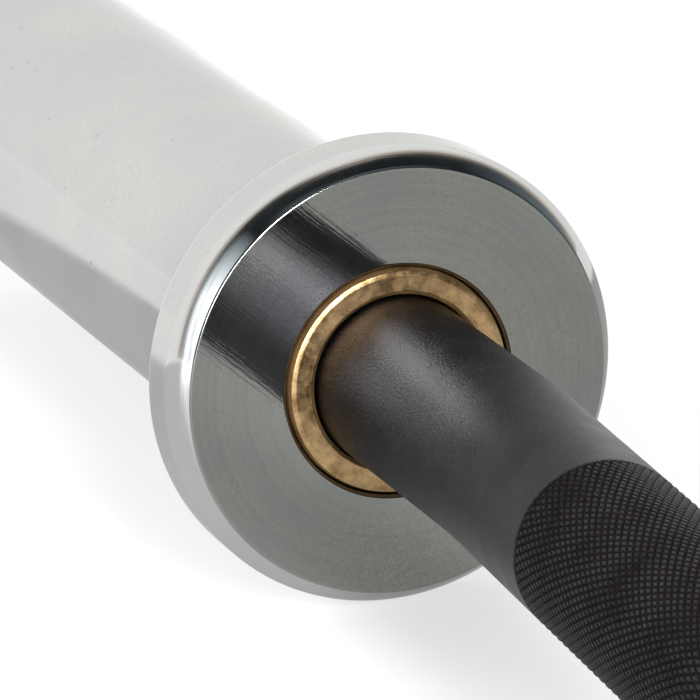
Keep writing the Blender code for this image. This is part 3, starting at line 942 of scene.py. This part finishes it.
def make_floor():
    """A white floor that glows, by one level to the camera and by another in gloss, where it carries
    painted light and shade for the metal to mirror.
    """
    bm = bmesh.new()
    bmesh.ops.create_grid(bm, x_segments=1, y_segments=1, size=FLOOR_HALF)
    bmesh.ops.translate(bm, vec=(0.0, 0.0, -FLOOR_DROP), verts=bm.verts[:])
    mesh = bpy.data.meshes.new("floor")
    bm.to_mesh(mesh)
    bm.free()
    material = bpy.data.materials.new("floor_white")
    material.use_nodes = True
    tree = material.node_tree
    shader = tree.nodes["Principled BSDF"]
    shader.inputs["Base Color"].default_value = FLOOR_GREY
    shader.inputs["Roughness"].default_value = 1.0
    shader.inputs["Specular IOR Level"].default_value = 0.0
    rays = node(tree, "LightPath").outputs
    place = node(tree, "SeparateXYZ", {0: node(tree, "TexCoord").outputs["Object"]}).outputs
    near, to_camera, gloss_with_painted_light = floor_levels(tree, place[0], place[1])
    tint = blend(tree, near, FAR_TINT, NEAR_TINT)
    tint = blend(tree, rays["Is Camera Ray"], tint, (1.0, 1.0, 1.0))
    tree.links.new(tint, shader.inputs["Emission Color"])
    seen = maths(tree, "MAXIMUM", rays["Is Camera Ray"], rays["Is Transmission Ray"])
    glow = product(tree, rays["Is Glossy Ray"], gloss_with_painted_light)
    glow = maths(tree, "MAXIMUM", glow, product(tree, seen, to_camera))
    tree.links.new(glow, shader.inputs["Emission Strength"])
    mesh.materials.append(material)
    floor = bpy.data.objects.new("floor", mesh)
    bpy.context.scene.collection.objects.link(floor)


# The wide bright wall lies behind the left sleeve, about a direction
WALL_WAY = (-0.954, -0.240, 0.177)
WALL_EDGE = (0.25, 0.32)
WALL_END = (-0.16, -0.10, 1.0, 0.0)
WALL_LEVEL = 1.48
# The upright bright strip stands in front, about a level direction
STRIP_WAY = (0.045, -0.999, 0.0)
STRIP_EDGE = (0.9890, 0.9955)
STRIP_TOP = (0.40, 0.80, 1.0, 0.0)
STRIP_BOTTOM = (0.0, 0.12, 0.85, 1.0)
STRIP_LEVEL = 3.0
# The room is dim, darker yet about one direction, with a soft light overhead on the right
ROOM_HEIGHT = (0.12, 0.70, 0.36, 0.03)
DARK_WAY = (0.897, 0.439, 0.050)
DARK_EDGE = (0.86, 0.96, 1.0, 0.15)
OVERHEAD_X = (-0.01, 0.13, 0.0, 0.32)
OVERHEAD_Y = (-0.55, -0.35)
OVERHEAD_HEIGHT = (0.70, 0.95)
# A haze lies low in front, left of the strip
HAZE_HEIGHT = (0.0, 0.22, 0.9, 0.0)
HAZE_SIDE = (0.0, 0.03, 1.0, 0.0)
HAZE_END = (-0.5, -0.3, 1.0, 0.0)
ROOM_TINT = (0.74, 0.90, 1.0)
WALL_EDGE_TINT = (1.0, 0.80, 0.62)
LIT_TINT = (1.0, 0.996, 0.985)


def make_world():
    """A studio with a wide bright wall behind the left sleeve and an upright bright strip in front."""
    world = bpy.data.worlds.new("studio")
    bpy.context.scene.world = world
    world.use_nodes = True
    tree = world.node_tree
    back = tree.nodes["Background"]
    way = node(tree, "TexCoord").outputs["Generated"]
    x, y, up = node(tree, "SeparateXYZ", {0: way}).outputs
    level_way = node(tree, "CombineXYZ", {0: x, 1: y}).outputs[0]
    level_way = node(tree, "VectorMath", {0: level_way}, operation="NORMALIZE").outputs[0]
    across = node(tree, "SeparateXYZ", {0: level_way}).outputs[0]

    wall = faded(tree, (dot(tree, way, WALL_WAY), WALL_EDGE), (x, WALL_END))
    along_strip = dot(tree, level_way, STRIP_WAY)
    strip = faded(tree, (along_strip, STRIP_EDGE), (up, STRIP_TOP), (up, STRIP_BOTTOM))
    strip = product(tree, strip, streaks(tree, across))
    dim = faded(tree, (up, ROOM_HEIGHT), (dot(tree, way, DARK_WAY), DARK_EDGE))
    overhead = faded(tree, (x, OVERHEAD_X), (up, OVERHEAD_HEIGHT), (y, OVERHEAD_Y))
    haze = faded(tree, (up, HAZE_HEIGHT), (across, HAZE_SIDE), (y, HAZE_END))
    level = remap(tree, wall, 0.0, 1.0, maths(tree, "ADD", dim, overhead), WALL_LEVEL)
    level = maths(tree, "MAXIMUM", level, product(tree, strip, STRIP_LEVEL))
    level = maths(tree, "MAXIMUM", level, haze)
    tree.links.new(level, back.inputs["Strength"])

    tint = blend(tree, remap(tree, wall, 0.0, 0.3), ROOM_TINT, WALL_EDGE_TINT)
    lit = maths(tree, "MAXIMUM", remap(tree, wall, 0.3, 1.0), strip)
    tree.links.new(blend(tree, lit, tint, LIT_TINT), back.inputs["Color"])


def aimed(obj, toward):
    """Turns a lamp so that its light travels along a direction."""
    obj.rotation_mode = "QUATERNION"
    obj.rotation_quaternion = Vector(toward).to_track_quat("-Z", "Y")


def sun(name, toward, strength, spread):
    lamp = bpy.data.lights.new(name, "SUN")
    lamp.energy = strength
    lamp.angle = spread
    obj = bpy.data.objects.new(name, lamp)
    aimed(obj, toward)
    obj.visible_glossy = False
    obj.visible_camera = False
    bpy.context.scene.collection.objects.link(obj)


def softbox(name, direction, distance, size, watts):
    """A lamp that shows in gloss, aimed at the left collar from a direction."""
    target = Vector((-FACE_X, AXIS_Y, AXIS_Z))
    lamp = bpy.data.lights.new(name, "AREA")
    lamp.shape = "RECTANGLE"
    lamp.size, lamp.size_y = size
    lamp.energy = watts
    obj = bpy.data.objects.new(name, lamp)
    obj.location = target + Vector(direction).normalized() * distance
    aimed(obj, target - obj.location)
    obj.visible_camera = False
    bpy.context.scene.collection.objects.link(obj)


def make_lamps():
    sun("key_low_behind", (0.79, 0.52, -0.33), strength=3.0, spread=math.radians(22.0))
    sun("fill_overhead", (-0.1, -0.1, -1.0), strength=0.2, spread=math.radians(70.0))
    softbox("softbox_front", (0.90, -0.12, 0.42), distance=3.0, size=(0.55, 1.3), watts=132.0)
    softbox("softbox_side", (0.90, -0.44, 0.20), distance=3.0, size=(1.3, 0.9), watts=62.0)


# The camera stands as the photograph's did, from the left collar's inner face
CAMERA_FROM_FACE = Vector((1.1876253517, -0.4395689727, 0.3931375111))
CAMERA_RIGHT = Vector((0.35041455, 0.93606281, -0.03156032))
CAMERA_UP = Vector((-0.26373464, 0.13095014, 0.95566527))
CAMERA_LENS = 431.6985
SENSOR_WIDTH = 36.0


def make_camera():
    data = bpy.data.cameras.new("camera")
    data.lens = CAMERA_LENS
    data.sensor_width = SENSOR_WIDTH
    data.clip_start = 0.05
    data.clip_end = 200.0
    camera = bpy.data.objects.new("camera", data)
    bpy.context.scene.collection.objects.link(camera)
    turn = Matrix.Identity(3)
    turn.col[0], turn.col[1], turn.col[2] = CAMERA_RIGHT, CAMERA_UP, CAMERA_RIGHT.cross(CAMERA_UP)
    camera.matrix_world = (
        Matrix.Translation(Vector((-FACE_X, AXIS_Y, AXIS_Z)) + CAMERA_FROM_FACE) @ turn.to_4x4()
    )
    bpy.context.scene.camera = camera


make_floor()
make_world()
make_lamps()
make_camera()
bpy.context.scene.view_settings.view_transform = "Standard"
